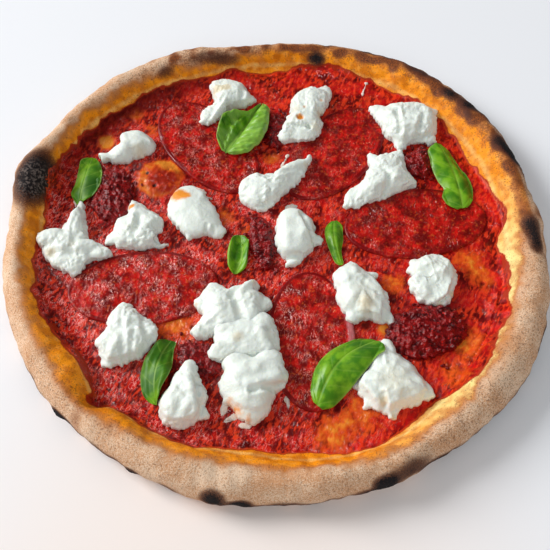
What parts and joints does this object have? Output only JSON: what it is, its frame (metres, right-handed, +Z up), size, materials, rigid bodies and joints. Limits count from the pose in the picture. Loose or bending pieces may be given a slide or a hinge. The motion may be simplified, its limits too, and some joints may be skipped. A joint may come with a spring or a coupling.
{
  "type": "burrata pizza",
  "caption": "Round baked pizza with a raised charred rim, tomato sauce, oval salami, crumbled soft sausage, torn burrata and basil leaves.",
  "frame": {"origin": "on the surface the pizza lies on, under the middle of its outline's box", "axes": "+Z up out of the toppings; +X to the right and +Y away, as the pizza is usually seen"},
  "size_m": [0.3184, 0.3154, 0.0267],
  "materials": {
    "crust": "floury baked dough, golden inside the rim, with charred blisters",
    "sauce": "wet tomato pulp with orange melted patches",
    "salami": "oily cooked slices with specks of fat",
    "sausage": "dark oily crumble",
    "burrata": "moist white curd",
    "basil": "fresh waxy leaf"
  },
  "bodies": {
    "root": {"crust": "crust", "sauce": "sauce", "salami_1": "salami", "salami_2": "salami", "salami_3": "salami", "salami_4": "salami", "salami_5": "salami", "sausage_1": "sausage", "sausage_2": "sausage", "sausage_3": "sausage", "sausage_4": "sausage", "sausage_5": "sausage", "sausage_6": "sausage", "burrata_1": "burrata", "burrata_2": "burrata", "burrata_3": "burrata", "burrata_4": "burrata", "burrata_5": "burrata", "burrata_6": "burrata", "burrata_7": "burrata", "burrata_8": "burrata", "burrata_9": "burrata", "burrata_10": "burrata", "burrata_11": "burrata", "burrata_12": "burrata", "burrata_13": "burrata", "burrata_14": "burrata", "burrata_15": "burrata", "burrata_16": "burrata", "burrata_17": "burrata", "burrata_18": "burrata", "basil_1": "basil", "basil_2": "basil", "basil_3": "basil", "basil_4": "basil", "basil_5": "basil", "basil_6": "basil", "basil_7": "basil"}
  },
  "joints": []
}
